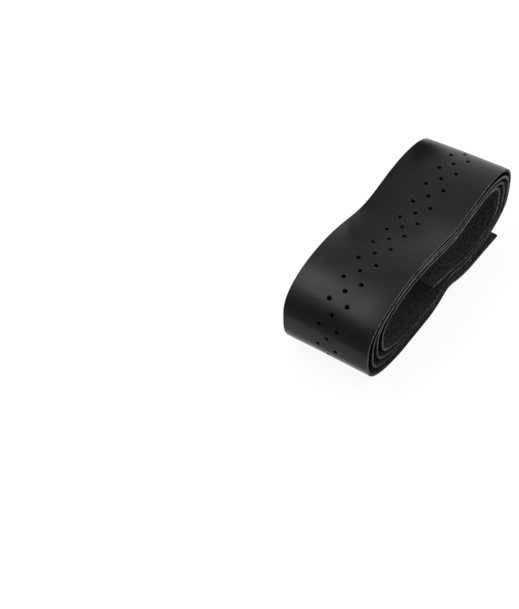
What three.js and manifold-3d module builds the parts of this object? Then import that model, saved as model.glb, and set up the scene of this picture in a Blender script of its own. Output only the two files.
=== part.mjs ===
// Roll of handlebar tape: one strip of padded, perforated tape wound about four times into a
// loose, waisted roll that lies on its flat side. Millimetres, +Z up, X along the roll,
// Y across the strip.
import * as THREE from 'three';
import Module from 'manifold-3d';

// The strip, as a flat ribbon with its long edges pared thin on the backing side.
const tapeWidth = 30;
const tapeThick = 1.1;
const edgeThick = 0.5;
const bevelWidth = 5;

// Clear space between neighbouring turns, in each part of the roll.
const leftSlack = 1.8;
const rightSlack = 1.15;
const topSlack = 0.5;
const underLeftSlack = 1.3;
const underRightSlack = 0.25;

// Outermost turn.
const halfLength = 46.3;
const roofHeight = 34.9;
const roofTilt = 1.5;
const midLeft = 17.4;
const midRight = 13.6;
const roundTopLeft = 2.6;
const roundUnderLeft = 3.3;
const roundTopRight = 3.4;
const roundUnderRight = 2.1;

// Waist pressed into the top, slanting a little across the strip.
const waistDepth = 6;
const waistHalfWidth = 19.2;
const waistX = 4.1;
const waistSlant = 0.165;
const waistGrowth = 0.1;

// Hump that lifts the underside over the waist, and how far the roll sags flat under it.
const humpHeight = 4.3;
const humpX = 5.4;
const humpLeftWidth = 6.2;
const humpRightWidth = 8;
const sag = 0.8;

// Lean of the roof towards the far edge of the strip, on the left and on the right.
const leanLeft = 1.05;
const leanRight = -0.05;

// The winding: loose outer end under the right lobe, the turns after it, and the inner end,
// which leaves the turns at the hump and springs up into the hollow, bending a little.
const tailLength = 40;
const woundTurns = 3.955;
const innerEndLength = 19;
const innerEndRadius = 110;

// Perforations, in rows of two and one.
const holeDiameter = 1.15;
const rowStep = 4.14;
const pairHalfGap = 3.1;
const patternOffset = -0.8;
const plainOuter = 76.1;
const plainInner = 88;

// Facets.
const maxBend = 11 * Math.PI / 180;
const maxFacet = 10;
const stepsPerTurn = 720;
const headingStep = 0.002;

const leftPitch = tapeThick + leftSlack;
const rightPitch = tapeThick + rightSlack;
const topPitch = tapeThick + topSlack;
const underLeftPitch = tapeThick + underLeftSlack;
const underRightPitch = tapeThick + underRightSlack;

// 0 at the left end of the outermost turn, 1 at its right end.
function along(x) {
  return (x / halfLength + 1) / 2;
}

function mix(left, right, x) {
  return left + (right - left) * along(x);
}

// Height of the underside of the outermost turn before it is rounded into the lobes.
function underHeight(x) {
  const width = x < humpX ? humpLeftWidth : humpRightWidth;
  return humpHeight / (1 + ((x - humpX) / width) ** 2) - sag;
}

// Height of the top before it is rounded into the lobes.
function roofAt(x, y, inward) {
  const across = y / (tapeWidth / 2);
  const offset = (x - waistX + waistSlant * y) / waistHalfWidth;
  const dip = waistDepth * (1 + waistGrowth * across) / (1 + offset ** 2);
  const tilt = roofTilt * x / halfLength;
  return roofHeight + tilt - dip - topPitch * inward + across * mix(leanLeft, leanRight, x);
}

// Turns gained towards the middle: each turn steps inward as it comes down the right lobe.
function inwardTurns(turn) {
  const lap = Math.floor(turn);
  const ramp = Math.max(0, 2 * (turn - lap) - 1);
  return lap + ramp * ramp * (3 - 2 * ramp);
}

function roundness(isTop, isLeft) {
  if (isTop) {
    return isLeft ? roundTopLeft : roundTopRight;
  }
  return isLeft ? roundUnderLeft : roundUnderRight;
}

// Point of the outer skin on the wound turns. Turn counts whole turns from the underside of
// the waist, and each one is a superellipse with a roundness of its own in every quarter.
function woundPoint(turn, y) {
  const angle = 2 * Math.PI * (turn - Math.floor(turn));
  const side = Math.sin(angle);
  const up = -Math.cos(angle);
  const inward = inwardTurns(turn);
  const power = roundness(up > 0, side > 0);
  const norm = (Math.abs(side) ** power + Math.abs(up) ** power) ** (-1 / power);
  const reach = halfLength - (side > 0 ? leftPitch : rightPitch) * inward;
  const x = -reach * side * norm;
  const part = Math.abs(up) * norm;
  const mid = mix(midLeft, midRight, x) * (1 - part);
  if (up > 0) {
    return [x, mid + roofAt(x, y, inward) * part];
  }
  const lift = mix(underLeftPitch, underRightPitch, x) * inward * part;
  return [x, Math.max(0, mid + underHeight(x) * part) + lift];
}

// Point of the skin on the inner end, an arc that starts in line with the last turn.
function innerEndPoint(part, y) {
  const start = woundPoint(woundTurns, y);
  const before = woundPoint(woundTurns - headingStep, y);
  const slope = Math.atan2(start[1] - before[1], before[0] - start[0]);
  const bend = part * innerEndLength / innerEndRadius;
  const x = start[0] - innerEndRadius * (Math.sin(slope) - Math.sin(slope - bend));
  const z = start[1] - innerEndRadius * (Math.cos(slope) - Math.cos(slope - bend));
  return [x, z];
}

// Point of the outer skin anywhere along the strip: minus one is the outer end, zero the
// underside of the waist, and the inner end is one past the wound turns.
function skinPoint(turn, y) {
  if (turn < 0) {
    const x = -turn * tailLength;
    return [x, Math.max(0, underHeight(x))];
  }
  if (turn > woundTurns) {
    return innerEndPoint(turn - woundTurns, y);
  }
  return woundPoint(turn, y);
}

// Unit vector along the strip, towards its inner end.
function heading(turn, y) {
  const from = skinPoint(turn - headingStep, y);
  const to = skinPoint(turn + headingStep, y);
  const length = Math.hypot(to[0] - from[0], to[1] - from[1]);
  return [(to[0] - from[0]) / length, (to[1] - from[1]) / length];
}

// Point at a depth under the skin, towards the inside of the roll.
function depthPoint(turn, y, depth) {
  const [x, z] = skinPoint(turn, y);
  const [dx, dz] = heading(turn, y);
  return [x + dz * depth, y, z - dx * depth];
}

// Closely spaced turn values with the length of strip from the outer end to each of them.
function measureStrip() {
  const samples = [];
  const span = woundTurns + 2;
  const count = Math.ceil(span * stepsPerTurn);
  let length = 0;
  let last = skinPoint(-1, 0);
  for (let i = 0; i <= count; i += 1) {
    const turn = -1 + span * i / count;
    const point = skinPoint(turn, 0);
    length += Math.hypot(point[0] - last[0], point[1] - last[1]);
    samples.push({ turn, length, heading: heading(turn, 0) });
    last = point;
  }
  return samples;
}

// Turn values where the strip is divided into facets: closer where it bends more.
function stationTurns(samples) {
  const kept = [samples[0].turn];
  let bend = 0;
  let start = 0;
  for (let i = 1; i < samples.length; i += 1) {
    const [ax, az] = samples[i - 1].heading;
    const [bx, bz] = samples[i].heading;
    bend += Math.abs(Math.atan2(ax * bz - az * bx, ax * bx + az * bz));
    const long = samples[i].length - start >= maxFacet;
    if (bend >= maxBend || long || i === samples.length - 1) {
      kept.push(samples[i].turn);
      bend = 0;
      start = samples[i].length;
    }
  }
  return kept;
}

// The six corners of the strip's section: two skin edges, then round the pared backing.
function sectionAt(turn) {
  const edge = tapeWidth / 2;
  const shoulder = edge - bevelWidth;
  return [
    depthPoint(turn, -edge, 0),
    depthPoint(turn, edge, 0),
    depthPoint(turn, edge, edgeThick),
    depthPoint(turn, shoulder, tapeThick),
    depthPoint(turn, -shoulder, tapeThick),
    depthPoint(turn, -edge, edgeThick),
  ];
}

// Closed ring-by-ring sweep of the section, with flat ends.
function sweepStrip(stations) {
  const points = stations.flatMap(sectionAt).flat();
  const faces = [];
  const ring = 6;
  for (let i = 0; i + 1 < stations.length; i += 1) {
    for (let k = 0; k < ring; k += 1) {
      const a = i * ring + k;
      const b = i * ring + (k + 1) % ring;
      faces.push(a, a + ring, b, b, a + ring, b + ring);
    }
  }
  const last = (stations.length - 1) * ring;
  for (let k = 1; k + 1 < ring; k += 1) {
    faces.push(0, k, k + 1);
    faces.push(last, last + k + 1, last + k);
  }
  return { points, faces };
}

// Turn value at a length of strip from the outer end.
function turnAtLength(samples, length) {
  let low = 0;
  let high = samples.length - 1;
  while (high - low > 1) {
    const middle = (low + high) >> 1;
    if (samples[middle].length < length) {
      low = middle;
    } else {
      high = middle;
    }
  }
  return samples[high].turn;
}

// Six-sided punch through the strip at one hole.
function punchAt(turn, y) {
  const sides = 6;
  const radius = holeDiameter / 2;
  const margin = 0.13;
  const [dx, dz] = heading(turn, y);
  const points = [];
  for (const depth of [-margin, tapeThick + margin]) {
    const [cx, , cz] = depthPoint(turn, y, depth);
    for (let k = 0; k < sides; k += 1) {
      const angle = 2 * Math.PI * k / sides;
      const along = radius * Math.cos(angle);
      points.push(cx + dx * along, y + radius * Math.sin(angle), cz + dz * along);
    }
  }
  const faces = [];
  for (let k = 0; k < sides; k += 1) {
    const next = (k + 1) % sides;
    faces.push(k, k + sides, next, next, k + sides, next + sides);
  }
  for (let k = 1; k + 1 < sides; k += 1) {
    faces.push(0, k, k + 1);
    faces.push(sides, sides + k + 1, sides + k);
  }
  return { points, faces };
}

// All punches: rows of two, with a single hole midway to the next two.
function allPunches(samples) {
  const total = samples[samples.length - 1].length;
  const rows = Math.floor((total - plainInner - plainOuter) / rowStep);
  const punches = [];
  for (let row = 0; row <= rows; row += 1) {
    const turn = turnAtLength(samples, plainOuter + row * rowStep);
    const sideways = row % 2 === 0 ? [-pairHalfGap, pairHalfGap] : [0];
    for (const y of sideways) {
      punches.push(punchAt(turn, y + patternOffset));
    }
  }
  return punches;
}

function toManifold(wasm, { points, faces }) {
  const mesh = new wasm.Mesh({
    numProp: 3,
    vertProperties: new Float32Array(points),
    triVerts: new Uint32Array(faces),
  });
  return new wasm.Manifold(mesh);
}

function toGeometry(solid) {
  const mesh = solid.getMesh();
  const geometry = new THREE.BufferGeometry();
  geometry.setAttribute('position', new THREE.BufferAttribute(mesh.vertProperties, 3));
  geometry.setIndex(new THREE.BufferAttribute(mesh.triVerts, 1));
  return geometry;
}

// Puts the origin under the middle of the roll's length.
function centreLength(geometry) {
  geometry.computeBoundingBox();
  const { min, max } = geometry.boundingBox;
  geometry.translate(-(min.x + max.x) / 2, 0, 0);
  geometry.computeVertexNormals();
  return geometry;
}

const wasm = await Module();
wasm.setup();

const samples = measureStrip();
let strip = toManifold(wasm, sweepStrip(stationTurns(samples)));
for (const punch of allPunches(samples)) {
  strip = strip.subtract(toManifold(wasm, punch));
}

const skin = new THREE.MeshStandardMaterial({ color: 0x2b2b2c, roughness: 0.45, metalness: 0 });
const roll = new THREE.Mesh(centreLength(toGeometry(strip)), skin);
roll.name = 'tape_roll';

const part = new THREE.Group();
part.name = 'handlebar_tape_roll';
part.add(roll);

export default part;
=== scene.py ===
import math

import bpy
import numpy as np
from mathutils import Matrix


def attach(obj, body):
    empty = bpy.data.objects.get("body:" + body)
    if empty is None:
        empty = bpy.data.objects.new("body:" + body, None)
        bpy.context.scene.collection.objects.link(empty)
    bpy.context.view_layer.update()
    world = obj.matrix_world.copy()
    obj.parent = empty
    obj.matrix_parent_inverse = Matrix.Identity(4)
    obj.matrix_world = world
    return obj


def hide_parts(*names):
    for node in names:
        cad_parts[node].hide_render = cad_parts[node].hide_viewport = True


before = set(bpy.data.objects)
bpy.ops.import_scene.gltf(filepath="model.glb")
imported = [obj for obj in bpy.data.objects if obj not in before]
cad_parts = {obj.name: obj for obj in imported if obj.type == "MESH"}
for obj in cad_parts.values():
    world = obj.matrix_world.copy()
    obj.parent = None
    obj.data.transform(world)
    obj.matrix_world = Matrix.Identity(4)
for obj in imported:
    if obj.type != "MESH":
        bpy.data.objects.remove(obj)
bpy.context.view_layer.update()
mm = 0.001  # sizes of the roll are in millimetres, its mesh is in metres
print("frame loaded")

# The strip before it is wound
strip = {
    "width": 30.0,
    "thick": 1.1,  # skin and padding together, in the middle
    "edgeThick": 0.86,  # at the pared long edges, where the cut foam stands up
    "bevelWidth": 5.0,  # pared zone on the backing
    "skinRound": 0.12,  # rounding of the skin into the cut edge
    "backRound": 0.12,
    "frayed": 0.18,  # edge of the backing that is as light as the cut
    "crown": 0.14,  # how far the padded middle stands over the edges
    "crownFlat": 10.0,  # half the width of the level part
    "holeDiameter": 1.45,
    "rowStep": 4.14,  # between one row of holes and the next
    "pairHalfGap": 3.1,  # half the distance between the two holes of a pair
    "patternOffset": -0.8,  # middle of the pattern off the strip's middle
    "plainOuter": 76.1,  # lengths without holes at the two ends
    "plainInner": 88.0,
    "rimWidth": 0.16,  # soft lip round each punched hole
    "rimSink": 0.05,
    "rimStart": 0.1,  # share of the sink that the lip has halfway
    "cells": 5,  # mesh cells along one side of a hole's tile
    "sideCells": 4,  # mesh cells over each stretch beside the tiles
    "cornerAngles": (45, 90),  # of the vertex lines on the rounded edges
    "sharpAngle": 40,  # faces that meet at more than this are shaded apart
}

# The winding, as in the solid but for a left lobe that draws in at the far edge, a waist that
# slants more and an outer end that swings aside, each by about half a millimetre at most
roll = {
    "leftPitch": 2.9,  # from one turn to the next, at the left, the right and the top
    "rightPitch": 2.25,
    "topPitch": 1.6,
    "underLeftPitch": 2.4,  # and underneath
    "underRightPitch": 1.35,
    "halfLength": 46.3,
    "roofHeight": 34.9,
    "roofTilt": 1.5,
    "midLeft": 17.4,  # height where a lobe is longest
    "midRight": 13.6,
    "roundTopLeft": 2.6,  # powers of the superellipse: 2 is round, more is squarer
    "roundUnderLeft": 3.3,
    "roundTopRight": 3.4,
    "roundUnderRight": 2.1,
    "leftTaper": 0.55,  # how far the left lobe draws in at the far edge
    "waistDepth": 6.0,
    "waistHalfWidth": 19.2,
    "waistX": 3.2,
    "waistSlant": 0.227,
    "waistGrowth": 0.1,  # share by which it is deeper at the far edge than in the middle
    "humpHeight": 4.3,
    "humpX": 5.4,
    "humpLeftWidth": 6.2,
    "humpRightWidth": 8.0,
    "sag": 0.8,  # of the underside, which the floor presses flat
    "leanLeft": 1.05,  # how much a lobe's top rises from the middle to the far edge
    "leanRight": -0.05,
    "tailLength": 40.0,
    "tailSwing": 0.5,  # how far the outer end points sideways
    "woundTurns": 3.955,
    "innerEndLength": 19.0,
    "innerEndRadius": 110.0,
    "pathPoints": 9000,  # that the strip's length is measured over
    "turnStep": 0.002,  # short step along the path, which gives its direction
}

# Unevenness of the soft strip. The length given for a wave is what one radian of it takes.
softness = {
    "ripple": 0.04,  # height of the skin's waves
    "rippleAlong": (5.3, 31, 11.7),
    "rippleAcross": (9, 4.1, 6),
    "rippleShift": 0.7,
    "rippleShare": 0.8,  # of the third wave
    "wander": 0.3,  # height of the waves that set the inner turns out of line sideways
    "wanderFrom": 240.0,  # distance from the outer end
    "wanderOver": 60,  # length over which it grows
    "wanderAlong": (37, 13.5),
    "wanderShift": 0.4,
    "wanderShare": 0.6,  # of the second wave
    "crownSpread": 1.6,  # how fast the crown comes up round a lobe, and how late
    "crownDelay": 0.2,
    "undersideShadeSpread": 1.2,  # how far the painted shade on the cut edges reaches round the underside
}


# A value that goes from left to right in a straight line along the roll
def mix(left, right, x):
    return left + (right - left) * (x / roll["halfLength"] + 1) / 2


# Hump under the waist: height over one plus the squared offset, less the sag
def underHeight(x):
    width = np.where(x < roll["humpX"], roll["humpLeftWidth"], roll["humpRightWidth"])
    return roll["humpHeight"] / (1 + ((x - roll["humpX"]) / width) ** 2) - roll["sag"]


# One superellipse a turn, with a roundness of its own in every quarter. The top is lowered by
# the waist, the underside is raised by the hump, and each turn steps inward on its way down
# the right lobe by a smooth ramp.
def woundPoint(turn, y):
    phase = turn - np.floor(turn)
    ramp = np.maximum(0, 2 * phase - 1)
    inward = np.floor(turn) + ramp * ramp * (3 - 2 * ramp)
    side, up = np.sin(2 * np.pi * phase), -np.cos(2 * np.pi * phase)
    isLeft, isTop = side > 0, up > 0
    power = np.where(
        isTop,
        np.where(isLeft, roll["roundTopLeft"], roll["roundTopRight"]),
        np.where(isLeft, roll["roundUnderLeft"], roll["roundUnderRight"]),
    )
    norm = (np.abs(side) ** power + np.abs(up) ** power) ** (-1 / power)
    pitch = np.where(isLeft, roll["leftPitch"], roll["rightPitch"])
    drawnIn = np.where(isLeft, roll["leftTaper"], 0) * (y / strip["width"] + 0.5)
    x = -(roll["halfLength"] - drawnIn - pitch * inward) * side * norm
    part = np.abs(up) * norm
    middle = mix(roll["midLeft"], roll["midRight"], x) * (1 - part)
    across = y / (strip["width"] / 2)
    offset = (x - roll["waistX"] + roll["waistSlant"] * y) / roll["waistHalfWidth"]
    dip = roll["waistDepth"] * (1 + roll["waistGrowth"] * across) / (1 + offset ** 2)
    roof = roll["roofHeight"] + roll["roofTilt"] * x / roll["halfLength"] - dip
    roof += across * mix(roll["leanLeft"], roll["leanRight"], x) - roll["topPitch"] * inward
    lift = mix(roll["underLeftPitch"], roll["underRightPitch"], x) * inward * part
    under = np.maximum(0, middle + underHeight(x) * part) + lift
    return x, np.where(isTop, middle + roof * part, under)


# The whole path: a straight outer end, the turns, and an inner end that is an arc in line
# with the last turn
def skinPoint(turn, y):
    wound, radius = roll["woundTurns"], roll["innerEndRadius"]
    x, z = woundPoint(np.clip(turn, 0, wound), y)
    tailX = -turn * roll["tailLength"]
    startX, startZ = woundPoint(np.full_like(turn, wound), y)
    beforeX, beforeZ = woundPoint(np.full_like(turn, wound - roll["turnStep"]), y)
    slope = np.arctan2(startZ - beforeZ, beforeX - startX)
    bend = (turn - wound) * roll["innerEndLength"] / radius
    endX = startX - radius * (np.sin(slope) - np.sin(slope - bend))
    endZ = startZ - radius * (np.cos(slope) - np.cos(slope - bend))
    x = np.where(turn < 0, tailX, np.where(turn > wound, endX, x))
    z = np.where(turn < 0, np.maximum(0, underHeight(tailX)), np.where(turn > wound, endZ, z))
    return x, z


# Length along the strip against turns, summed over closely spaced points of the path
def lengthTable():
    turn = np.linspace(-1, roll["woundTurns"] + 1, roll["pathPoints"])
    x, z = skinPoint(turn, np.zeros_like(turn))
    length = np.concatenate([[0], np.cumsum(np.hypot(np.diff(x), np.diff(z)))])
    return turn, length


turnAt, lengthAt = lengthTable()
stripLength = lengthAt[-1]
print(f"strip is {stripLength:.0f} mm long")


# Rounding at the very edge of the width, as a quarter circle
def edgeRounding(across, radius):
    corner = np.clip((np.abs(across) - strip["width"] / 2) / strip["skinRound"] + 1, 0, 1)
    return radius * (1 - np.sqrt(1 - corner ** 2))


# Thickness over the width, which falls in a straight line over the pared zone
def thickness(across):
    pared = np.clip((np.abs(across) - strip["width"] / 2) / strip["bevelWidth"] + 1, 0, 1)
    return strip["thick"] - (strip["thick"] - strip["edgeThick"]) * pared


# Height of the padded middle over the edges: level, then a parabola down to the edge
def crown(across):
    half = strip["width"] / 2
    reach = np.maximum(0, np.abs(across) - strip["crownFlat"]) / (half - strip["crownFlat"])
    return strip["crown"] * (1 - reach ** 2)


# Share of the crown that shows: all of it on top and on the lobes' upper sides, and none
# underneath, where it is pressed flat. It is a squared sine of the turn, cut off at 0 and 1
# and smoothed.
def standsProud(turn):
    wave = np.sin(np.pi * np.clip(turn, 0, roll["woundTurns"])) ** 2
    rise = np.clip(softness["crownSpread"] * wave - softness["crownDelay"], 0, 1)
    return rise * rise * (3 - 2 * rise)


# How deep the skin's waves lie: the product of two sines that cross, and a third sine
def rippleDepth(along, across):
    alongFirst, alongSecond, alongThird = softness["rippleAlong"]
    acrossFirst, acrossSecond, acrossThird = softness["rippleAcross"]
    crossed = np.sin(along / alongFirst + across / acrossFirst)
    crossed *= np.sin(across / acrossSecond - along / alongSecond + softness["rippleShift"])
    third = np.sin(along / alongThird - across / acrossThird)
    return softness["ripple"] * (crossed + softness["rippleShare"] * third)


# How far the inner turns stand aside: two sines along the strip, which grow from nothing
def strayAside(along):
    first, second = softness["wanderAlong"]
    grown = np.clip((along - softness["wanderFrom"]) / softness["wanderOver"], 0, 1)
    waves = np.sin(along / first + softness["wanderShift"])
    waves += softness["wanderShare"] * np.sin(along / second)
    return softness["wander"] * (grown * waves)


# Winds points of the flat strip: along is the length from the outer end, across the place over
# the width, depth the distance under the skin. A point is moved in from the path by its depth,
# at right angles to it, and none goes below the floor.
def wind(along, across, depth):
    turn = np.interp(along, lengthAt, turnAt)
    x, z = skinPoint(turn, across)
    fromX, fromZ = skinPoint(turn - roll["turnStep"], across)
    toX, toZ = skinPoint(turn + roll["turnStep"], across)
    run = np.hypot(toX - fromX, toZ - fromZ)
    dx, dz = (toX - fromX) / run, (toZ - fromZ) / run
    depth = depth + rippleDepth(along, across) - crown(across) * standsProud(turn)
    y = across + strayAside(along) - roll["tailSwing"] * np.minimum(0, turn) ** 2
    return np.stack([x + dz * depth, y, np.maximum(0, z - dx * depth)], axis=-1)


# Vertex columns over the width: even through the three columns of holes, wider outside them,
# with a line where each pared zone starts and a few on the rounded edges. The number of the
# column where the holes' tiles start comes with them.
def acrossColumns():
    half, cells, sidePoints = strip["width"] / 2, strip["cells"], strip["sideCells"] + 1
    shoulder, flat = half - strip["bevelWidth"], half - strip["skinRound"]
    fray = half - strip["frayed"]
    tiles = strip["pairHalfGap"] * np.linspace(-1.5, 1.5, 3 * cells + 1)
    holes = strip["patternOffset"] + tiles
    corner = flat + strip["skinRound"] * np.sin(np.radians(strip["cornerAngles"]))
    left = [
        -corner[::-1],
        [-flat],
        np.linspace(-fray, -shoulder, sidePoints)[:-1],
        np.linspace(-shoulder, holes[0], sidePoints)[:-1],
    ]
    right = [
        np.linspace(holes[-1], shoulder, sidePoints)[1:],
        np.linspace(shoulder, fray, sidePoints)[1:],
        [flat],
        corner,
    ]
    return np.concatenate(left + [holes] + right), sum(len(part) for part in left)


# Vertex rows along the strip: a whole number of cells to each row of holes, and the two ends.
# The number of the row where the tiles start comes with them.
def alongRows():
    cells, step = strip["cells"], strip["rowStep"]
    first = strip["plainOuter"] - step / 2
    low = math.ceil(-first / step * cells)
    high = math.floor((stripLength - first) / step * cells)
    rows = first + step / cells * np.arange(low, high + 1)
    return np.concatenate([[0], rows, [stripLength]]), 1 - low


# Tiles that hold a hole, as the first row and column of each: two in one row, one in the next
def holeTiles(firstRow, firstColumn):
    cells = strip["cells"]
    free = stripLength - strip["plainInner"] - strip["plainOuter"]
    tiles = []
    for row in range(int(free / strip["rowStep"]) + 1):
        for column in ([0, 2] if row % 2 == 0 else [1]):
            tiles.append((firstRow + row * cells, firstColumn + column * cells))
    return np.array(tiles)


# Vertex numbers round the border of each tile, the same way round as the skin's faces
def tileBorders(tiles, columnCount):
    cells = strip["cells"]
    step, full = np.arange(cells), np.full(cells, cells)
    rows = np.concatenate([step, full, cells - step, 0 * step])
    columns = np.concatenate([0 * step, step, full, cells - step])
    return (tiles[:, :1] + rows) * columnCount + tiles[:, 1:] + columns


# Points round each hole as along, across and sink, one array a ring: circles round the hole's
# middle, at the angles of the tile's border points. The first two make the soft lip, and the
# last is the hole.
def holeRings(border, middle):
    angle = np.arctan2(border[..., 1] - middle[..., 1], border[..., 0] - middle[..., 0])
    radius, rim = strip["holeDiameter"] / 2, strip["rimWidth"]
    rings = []
    for reach, share in ((radius + 2 * rim, 0), (radius + rim, strip["rimStart"]), (radius, 1)):
        along = middle[..., 0] + reach * np.cos(angle)
        across = middle[..., 1] + reach * np.sin(angle)
        rings.append(np.stack([along, across, np.full(angle.shape, share * strip["rimSink"])], -1))
    return rings


# Quads between two sets of closed loops that run side by side
def ringQuads(outer, inner):
    return np.stack([outer, np.roll(outer, -1, 1), np.roll(inner, -1, 1), inner], -1).reshape(-1, 4)


# Quads that join the skin's border to the backing's: those of the long edges and of the ends
def borderQuads(number, toBacking):
    def joined(first, second):
        return np.stack([first, second, second + toBacking, first + toBacking], -1)

    longEdges = [joined(number[:-1, -1], number[1:, -1]), joined(number[1:, 0], number[:-1, 0])]
    ends = [joined(number[0, :-1], number[0, 1:]), joined(number[-1, 1:], number[-1, :-1])]
    return np.concatenate(longEdges), np.concatenate(ends)


# What a face shows, as the number of its material
skinFace, fleeceFace, paredFace, cutFace, foamShadeFace = range(5)


# Flat strip as along, across and depth, with its faces and what each face shows. The skin is a
# grid, with rings of quads in the place of each tile that holds a hole, and the backing is the
# same again.
def flatStrip():
    across, firstColumn = acrossColumns()
    along, firstRow = alongRows()
    grid = np.stack(np.meshgrid(along, across, indexing="ij"), -1).reshape(-1, 2)
    number = np.arange(len(grid)).reshape(len(along), len(across))
    tiles = holeTiles(firstRow, firstColumn)
    step = np.arange(strip["cells"])
    keep = np.ones((len(along) - 1, len(across) - 1), bool)
    keep[(tiles[:, :1, None] + step[:, None]), (tiles[:, 1:, None] + step)] = False
    plain = np.stack([number[:-1, :-1], number[1:, :-1], number[1:, 1:], number[:-1, 1:]], -1)[keep]

    borders = tileBorders(tiles, len(across))
    middleAlong = along[tiles[:, 0]] + strip["rowStep"] / 2
    middleAcross = across[tiles[:, 1]] + strip["pairHalfGap"] / 2
    rings = holeRings(grid[borders], np.stack([middleAlong, middleAcross], -1)[:, None])
    level = np.concatenate([grid, np.zeros((len(grid), 1))], -1)
    skinPlace = np.concatenate([level] + [ring.reshape(-1, 3) for ring in rings])
    ringNumber = len(grid) + np.arange(borders.size).reshape(borders.shape)
    loops = [borders] + [ringNumber + i * borders.size for i in range(len(rings))]

    toBacking = len(skinPlace)
    skin = np.concatenate([plain] + [ringQuads(*pair) for pair in zip(loops[:-1], loops[1:])])
    backing = skin[:, ::-1] + toBacking
    walls = ringQuads(loops[-1], loops[-1] + toBacking)
    longEdges, ends = borderQuads(number, toBacking)
    faces = np.concatenate([skin, backing, walls, longEdges, ends])

    half = strip["width"] / 2
    offMiddle = np.abs(skinPlace[backing - toBacking, 1]).mean(1)
    pared, frayed = offMiddle > half - strip["bevelWidth"], offMiddle > half - strip["frayed"]
    looks = np.concatenate([
        np.full(len(skin), skinFace),
        np.where(frayed, cutFace, np.where(pared, paredFace, fleeceFace)),
        np.full(len(walls), foamShadeFace),
        np.full(len(longEdges), cutFace),
        np.full(len(ends), foamShadeFace),
    ])

    allAlong, allAcross, sink = skinPlace.T
    skinDepth = edgeRounding(allAcross, strip["skinRound"]) + sink
    backDepth = thickness(allAcross) - edgeRounding(allAcross, strip["backRound"]) - sink
    depth = np.concatenate([skinDepth, backDepth])
    place = np.stack([np.tile(allAlong, 2), np.tile(allAcross, 2), depth], -1)
    used, faces = np.unique(faces, return_inverse=True)
    return place[used], faces.reshape(-1, 4), looks


# A new object in the scene, with this mesh, lamp or camera
def placeObject(name, data):
    made = bpy.data.objects.new(name, data)
    bpy.context.collection.objects.link(made)
    return made


# A mesh object from arrays, with its faces smooth up to the given angle
def meshObject(name, points, faces, sharpAngle):
    mesh = bpy.data.meshes.new(name)
    mesh.from_pydata(points, [], faces.tolist())
    mesh.polygons.foreach_set("use_smooth", np.ones(len(faces), bool))
    mesh.set_sharp_from_angle(angle=math.radians(sharpAngle))
    mesh.update()
    return placeObject(name, mesh)


# The wound strip, centred along its length. For the materials, each point keeps its place on
# the flat strip and its share of painted shade for the cut edges: a cosine of the turn, cut
# off at 0 and 1, so most in the middle of the underside, where the edges get less light.
def makeRoll():
    place, faces, looks = flatStrip()
    points = wind(place[:, 0], place[:, 1], place[:, 2])
    points[:, 0] -= (points[:, 0].min() + points[:, 0].max()) / 2
    made = meshObject("wound_tape", points * mm, faces, strip["sharpAngle"])
    made.data.polygons.foreach_set("material_index", looks)
    kept = made.data.attributes.new("stripPlace", "FLOAT_VECTOR", "POINT")
    kept.data.foreach_set("vector", (place * mm).ravel())
    underneath = np.cos(2 * np.pi * np.interp(place[:, 0], lengthAt, turnAt))
    undersideShade = np.clip(softness["undersideShadeSpread"] * underneath, 0, 1)
    made.data.attributes.new("undersideShade", "FLOAT", "POINT").data.foreach_set("value", undersideShade)
    print(f"roll meshed: {len(points)} points, {len(faces)} faces")
    return made


# Materials. Scales of noises are in features a metre, depths of bumps in metres.

noiseLow, noiseHigh = 0.3, 0.7  # nearly all of a noise lies between these

skinLook = {
    "dark": 0.0055,
    "light": 0.0085,
    "patch": 160,
    "patchDetail": 3,
    "roughLow": 0.28,
    "roughHigh": 0.36,
    "specular": 0.5,
    "grain": 3600,
    "grainDepth": 0.00002,
    "grainStrength": 0.25,
}

fibreLook = {
    "stops": (0.32, 0.5, 0.7),  # of the noise, for dark, middle and light
    "detail": 4,
    "specular": 0.15,
    "pileStrength": 0.8,
}

fleeceLook = {"dark": 0.027, "middle": 0.048, "light": 0.074, "fleck": 2300, "pile": 0.0001,
              "stretch": (1, 1, 1), "roughness": 0.95}
paredLook = {"dark": 0.016, "middle": 0.043, "light": 0.07, "fleck": 1500, "pile": 0.00008,
             "stretch": (0.5, 1.3, 1), "roughness": 0.9}
# The cut edge's last entry is the share of its colour kept where the painted underside shade is full
cutLook = {"dark": 0.02, "middle": 0.11, "light": 0.28, "fleck": 1300, "pile": 0.00012,
           "stretch": (1, 1, 1), "roughness": 0.9,
           "patch": 110, "patchLow": 0.55, "patchHigh": 1.3, "undersideShadeShare": 0.35}
# Hole walls and end faces: cut foam darkened as painted shade, for the shade inside the holes
foamShadeLook = {"dark": 0.006, "middle": 0.018, "light": 0.03, "fleck": 2600, "pile": 0.00006,
            "stretch": (1, 1, 1), "roughness": 0.9}


# A new material with its node tree and its shader
def newMaterial(name, **shaderValues):
    material = bpy.data.materials.new(name)
    material.use_nodes = True
    tree = material.node_tree
    shader = tree.nodes["Principled BSDF"]
    for socket, value in shaderValues.items():
        shader.inputs[socket].default_value = value
    return material, tree, shader


# A new node, with values for its sockets and settings of its own
def addNode(tree, kind, values=None, **settings):
    node = tree.nodes.new(kind)
    for key, value in settings.items():
        setattr(node, key, value)
    for socket, value in (values or {}).items():
        node.inputs[socket].default_value = value
    return node


# Noise on the strip's own length, width and depth
def stripNoise(tree, scale, detail=2, stretch=(1, 1, 1)):
    place = addNode(tree, "ShaderNodeAttribute", attribute_name="stripPlace")
    stretched = addNode(tree, "ShaderNodeMapping", {"Scale": stretch})
    noise = addNode(tree, "ShaderNodeTexNoise", {"Scale": scale, "Detail": detail})
    tree.links.new(place.outputs["Vector"], stretched.inputs["Vector"])
    tree.links.new(stretched.outputs["Vector"], noise.inputs["Vector"])
    return noise.outputs["Fac"]


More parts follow.
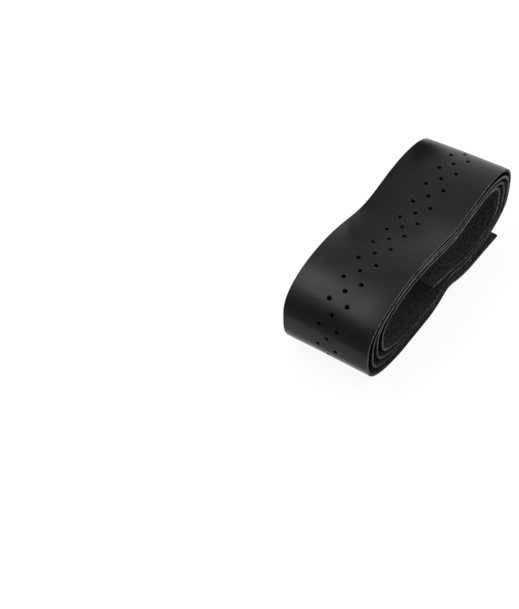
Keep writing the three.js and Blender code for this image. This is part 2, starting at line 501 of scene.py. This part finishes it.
# Maps a noise, or another value, between two numbers
def spread(tree, source, low, high, fromLow=noiseLow, fromHigh=noiseHigh):
    ranged = addNode(tree, "ShaderNodeMapRange", {
        "From Min": fromLow, "From Max": fromHigh, "To Min": low, "To Max": high})
    tree.links.new(source, ranged.inputs["Value"])
    return ranged.outputs["Result"]


# Opaque grey as a colour
def grey(value):
    return (value, value, value, 1)


# Greys that a noise goes through, each given with its place on the ramp
def greyRamp(tree, source, *stops):
    ramp = addNode(tree, "ShaderNodeValToRGB")
    elements = ramp.color_ramp.elements
    elements[0].position, elements[-1].position = stops[0][0], stops[-1][0]
    elements[0].color, elements[-1].color = grey(stops[0][1]), grey(stops[-1][1])
    for position, value in stops[1:-1]:
        elements.new(position).color = grey(value)
    tree.links.new(source, ramp.inputs["Fac"])
    return ramp.outputs["Color"]


# Raises the surface by a noise
def addBump(tree, shader, source, strength, distance):
    bump = addNode(tree, "ShaderNodeBump", {"Strength": strength, "Distance": distance})
    tree.links.new(source, bump.inputs["Height"])
    tree.links.new(bump.outputs["Normal"], shader.inputs["Normal"])


# Smooth skin: soft patches that differ a little in shade and in sheen, under a fine grain
def skinMaterial(name, look):
    material, tree, shader = newMaterial(name, **{"Specular IOR Level": look["specular"]})
    patch = stripNoise(tree, look["patch"], look["patchDetail"])
    colour = greyRamp(tree, patch, (noiseLow, look["dark"]), (noiseHigh, look["light"]))
    tree.links.new(colour, shader.inputs["Base Color"])
    rough = spread(tree, patch, look["roughLow"], look["roughHigh"])
    tree.links.new(rough, shader.inputs["Roughness"])
    grain = stripNoise(tree, look["grain"])
    addBump(tree, shader, grain, look["grainStrength"], look["grainDepth"])
    return material


# Scales a colour by soft patches, and down to a share as painted shade on the roll's underside
def unevenColour(tree, colour, look):
    patch = spread(tree, stripNoise(tree, look["patch"]), look["patchLow"], look["patchHigh"])
    undersideShade = addNode(tree, "ShaderNodeAttribute", attribute_name="undersideShade")
    kept = spread(tree, undersideShade.outputs["Fac"], 1, look["undersideShadeShare"], 0, 1)
    both = addNode(tree, "ShaderNodeMath", operation="MULTIPLY")
    tree.links.new(patch, both.inputs[0])
    tree.links.new(kept, both.inputs[1])
    scaled = addNode(tree, "ShaderNodeVectorMath", operation="SCALE")
    tree.links.new(colour, scaled.inputs[0])
    tree.links.new(both.outputs[0], scaled.inputs["Scale"])
    return scaled.outputs[0]


# Fleece or cut foam: dark and light fibres mixed by one noise, which raises the pile too
def fibreMaterial(name, look):
    material, tree, shader = newMaterial(
        name, **{"Roughness": look["roughness"], "Specular IOR Level": fibreLook["specular"]})
    fibre = stripNoise(tree, look["fleck"], fibreLook["detail"], look["stretch"])
    greys = look["dark"], look["middle"], look["light"]
    colour = greyRamp(tree, fibre, *zip(fibreLook["stops"], greys))
    if "patch" in look:
        colour = unevenColour(tree, colour, look)
    tree.links.new(colour, shader.inputs["Base Color"])
    addBump(tree, shader, fibre, fibreLook["pileStrength"], look["pile"])
    return material


tapeRoll = makeRoll()
# In the order of the faces' numbers
for material in (
    skinMaterial("smooth_skin", skinLook),
    fibreMaterial("fleece_backing", fleeceLook),
    fibreMaterial("pared_backing", paredLook),
    fibreMaterial("cut_edge", cutLook),
    fibreMaterial("foam_painted_shade", foamShadeLook),
):
    tapeRoll.data.materials.append(material)
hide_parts("tape_roll")
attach(tapeRoll, "root")
print("roll finished")

# Floor, light and camera, in metres and degrees

studio = {
    "floorRadius": 3.0,
    "floorCorners": 72,
    "floorShade": 0.8,
    "floorGlow": 0.9,  # share of the white that doesn't take shadow
    "floorShadow": 0.2,  # share that does
    "ambient": 0.55,
    "horizon": 0.76,  # shades of the room low down and overhead, as reflections see it
    "ceiling": 0.38,
    "ceilingFrom": (0.3, 0.9),  # sine of the angle where it sets in, and where it is full
    "boxPlace": (-0.13, 0.335, 0.83),
    "boxSize": (0.53, 0.2),
    "boxRadiance": 2.4,
    "cameraPlace": (-0.23358, -0.11653, 0.25622),
    "cameraTurn": (44.46, 1.46, -54.82),
    "lens": 65.08,
    "nearest": 0.01,  # that the camera sees
}

# Cards that only reflections see. On the left a pale one lies beside the roll, and then a grey
# one, whose outer side stands up. Two more are upright behind the roll's right lobe.
cards = {
    "nearEnd": -0.06,
    "farEnd": 0.12,
    "overFloor": 0.0005,
    "greyX": (-0.06, -0.118),
    "greyTops": (0.21, 0.03),  # height at the near and the far end
    "greyShade": 0.25,
    "paleX": (-0.046, -0.06),
    "paleShade": 0.9,
    "behindY": 0.018,
    "behindFoot": 0.032,
    "darkX": (0.037, 0.066),
    "darkTop": 0.056,
    "darkShade": 0.02,
    "dimX": (-0.004, 0.037),
    "dimTop": 0.06,
    "dimShade": 0.6,
    "roughness": 0.9,
}


# 1 for rays that come from the camera or off a glossy or clear surface
def seenRays(tree):
    path = addNode(tree, "ShaderNodeLightPath")
    glossy = addNode(tree, "ShaderNodeMath", operation="MAXIMUM")
    either = addNode(tree, "ShaderNodeMath", operation="MAXIMUM")
    tree.links.new(path.outputs["Is Glossy Ray"], glossy.inputs[0])
    tree.links.new(path.outputs["Is Transmission Ray"], glossy.inputs[1])
    tree.links.new(path.outputs["Is Camera Ray"], either.inputs[0])
    tree.links.new(glossy.outputs[0], either.inputs[1])
    return either.outputs[0]


# The first shader where the factor is 0, the second where it is 1
def mixShaders(tree, factor, first, second):
    mixed = addNode(tree, "ShaderNodeMixShader")
    tree.links.new(factor, mixed.inputs[0])
    tree.links.new(first.outputs[0], mixed.inputs[1])
    tree.links.new(second.outputs[0], mixed.inputs[2])
    return mixed


# A round floor: what is seen of it is nearly white, with a share that takes the roll's shadow,
# and to other rays it is plain and pale
def makeFloor():
    angle = 2 * np.pi * np.arange(studio["floorCorners"]) / studio["floorCorners"]
    ring = studio["floorRadius"] * np.stack([np.cos(angle), np.sin(angle), 0 * angle], -1)
    mesh = bpy.data.meshes.new("floor")
    mesh.from_pydata(ring.tolist(), [], [list(range(len(ring)))])
    material = bpy.data.materials.new("pale_floor")
    material.use_nodes = True
    tree = material.node_tree
    tree.nodes.remove(tree.nodes["Principled BSDF"])
    plain = addNode(tree, "ShaderNodeBsdfDiffuse", {"Color": grey(studio["floorShade"])})
    shaded = addNode(tree, "ShaderNodeBsdfDiffuse", {"Color": grey(studio["floorShadow"])})
    glow = addNode(tree, "ShaderNodeEmission", {"Strength": studio["floorGlow"]})
    seen = addNode(tree, "ShaderNodeAddShader")
    tree.links.new(shaded.outputs[0], seen.inputs[0])
    tree.links.new(glow.outputs[0], seen.inputs[1])
    mixed = mixShaders(tree, seenRays(tree), plain, seen)
    tree.links.new(mixed.outputs[0], tree.nodes["Material Output"].inputs["Surface"])
    mesh.materials.append(material)
    placeObject("floor", mesh)


# Plain light on the object, white behind it, and a room that is darker overhead in reflections
def makeWorld():
    world = bpy.data.worlds.new("studio")
    world.use_nodes = True
    bpy.context.scene.world = world
    tree = world.node_tree
    ambient = addNode(tree, "ShaderNodeBackground", {"Color": grey(1), "Strength": studio["ambient"]})
    room = addNode(tree, "ShaderNodeBackground", {"Strength": 1})
    behind = addNode(tree, "ShaderNodeBackground", {"Color": grey(1), "Strength": 1})
    place = addNode(tree, "ShaderNodeTexCoord")
    split = addNode(tree, "ShaderNodeSeparateXYZ")
    tree.links.new(place.outputs["Generated"], split.inputs[0])
    low, high = studio["ceilingFrom"]
    shade = spread(tree, split.outputs["Z"], studio["horizon"], studio["ceiling"], low, high)
    tree.links.new(shade, room.inputs["Color"])
    path = addNode(tree, "ShaderNodeLightPath")
    reflected = mixShaders(tree, seenRays(tree), ambient, room)
    mixed = mixShaders(tree, path.outputs["Is Camera Ray"], reflected, behind)
    tree.links.new(mixed.outputs[0], tree.nodes["World Output"].inputs["Surface"])


# An oblong lamp along the roll, tilted to face it. Its power is its radiance times pi times
# its area.
def makeSoftBox():
    lamp = bpy.data.lights.new("soft_box", "AREA")
    lamp.shape = "RECTANGLE"
    lamp.size, lamp.size_y = studio["boxSize"]
    lamp.energy = studio["boxRadiance"] * math.pi * lamp.size * lamp.size_y
    made = placeObject("soft_box", lamp)
    x, y, z = studio["boxPlace"]
    made.location = (x, y, z)
    made.rotation_euler = (-math.atan2(y, math.hypot(x, z)), math.atan2(x, z), 0)


# A strip of flat faces, over corners that are given in pairs
def makeCard(name, shade, corners):
    mesh = bpy.data.meshes.new(name)
    mesh.from_pydata(corners, [], [(i, i + 1, i + 3, i + 2) for i in range(0, len(corners) - 2, 2)])
    material, _, _ = newMaterial(
        name, **{"Base Color": grey(shade), "Roughness": cards["roughness"]})
    mesh.materials.append(material)
    card = placeObject(name, mesh)
    card.visible_camera = card.visible_diffuse = card.visible_shadow = False


def makeCards():
    ends, low = (cards["nearEnd"], cards["farEnd"]), cards["overFloor"]
    outer = cards["greyX"][1]
    onFloor = [(x, y, low) for x in cards["greyX"] for y in ends]
    upright = [(outer, y, top) for y, top in zip(ends, cards["greyTops"])]
    makeCard("left_card", cards["greyShade"], onFloor + upright)
    makeCard("left_shade", cards["paleShade"], [(x, y, low) for x in cards["paleX"] for y in ends])
    for name, kind in (("far_card", "dark"), ("far_shade", "dim")):
        heights = cards["behindFoot"], cards[kind + "Top"]
        corners = [(x, cards["behindY"], z) for x in cards[kind + "X"] for z in heights]
        makeCard(name, cards[kind + "Shade"], corners)


def makeCamera():
    view = bpy.data.cameras.new("camera")
    view.lens = studio["lens"]
    view.clip_start = studio["nearest"]
    made = placeObject("camera", view)
    made.location = studio["cameraPlace"]
    made.rotation_euler = [math.radians(angle) for angle in studio["cameraTurn"]]
    bpy.context.scene.camera = made


makeFloor()
makeWorld()
makeSoftBox()
makeCards()
makeCamera()
bpy.context.scene.view_settings.view_transform = "Standard"
print("studio ready")
